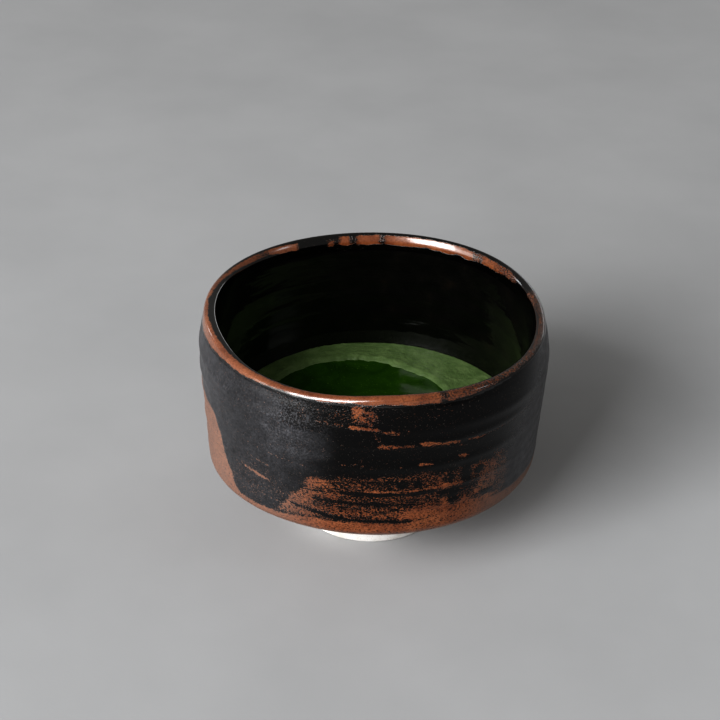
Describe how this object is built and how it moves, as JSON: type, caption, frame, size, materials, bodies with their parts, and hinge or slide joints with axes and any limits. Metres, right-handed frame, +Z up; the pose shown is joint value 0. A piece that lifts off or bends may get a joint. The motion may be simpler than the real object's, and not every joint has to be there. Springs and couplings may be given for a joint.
{
  "type": "matcha bowl",
  "caption": "Half-cylinder stoneware tea bowl with black and iron-rust glazes, a bare foot ring, and whisked matcha with a ring of froth inside.",
  "frame": {"origin": "centre of the bowl's outline on the table plane, under the middle of the foot ring", "axes": "+Z up out of the bowl's mouth, -Y towards the bowl's front face with the speckled rust window, +X to that face's right"},
  "size_m": [0.1214, 0.121, 0.0815],
  "materials": {
    "clay_body": "bare fired stoneware",
    "foot_ring": "bare fired stoneware, matt",
    "rust_glaze_coat": "satin iron-rust glaze with black speckles",
    "black_glaze_coat": "glossy to satin black glaze",
    "rim_glaze_band": "glossy iron-rust glaze, thin over the lip",
    "inner_glaze_coat": "deep glossy black glaze",
    "matcha_tea": "opaque green liquid, wet gloss",
    "tea_froth": "fine pale green froth"
  },
  "bodies": {
    "root": {"clay_body": "clay_body", "foot_ring": "foot_ring", "rust_glaze_coat": "rust_glaze_coat", "black_glaze_coat": "black_glaze_coat", "rim_glaze_band": "rim_glaze_band", "inner_glaze_coat": "inner_glaze_coat", "matcha_tea": "matcha_tea", "tea_froth": "tea_froth"}
  },
  "joints": []
}
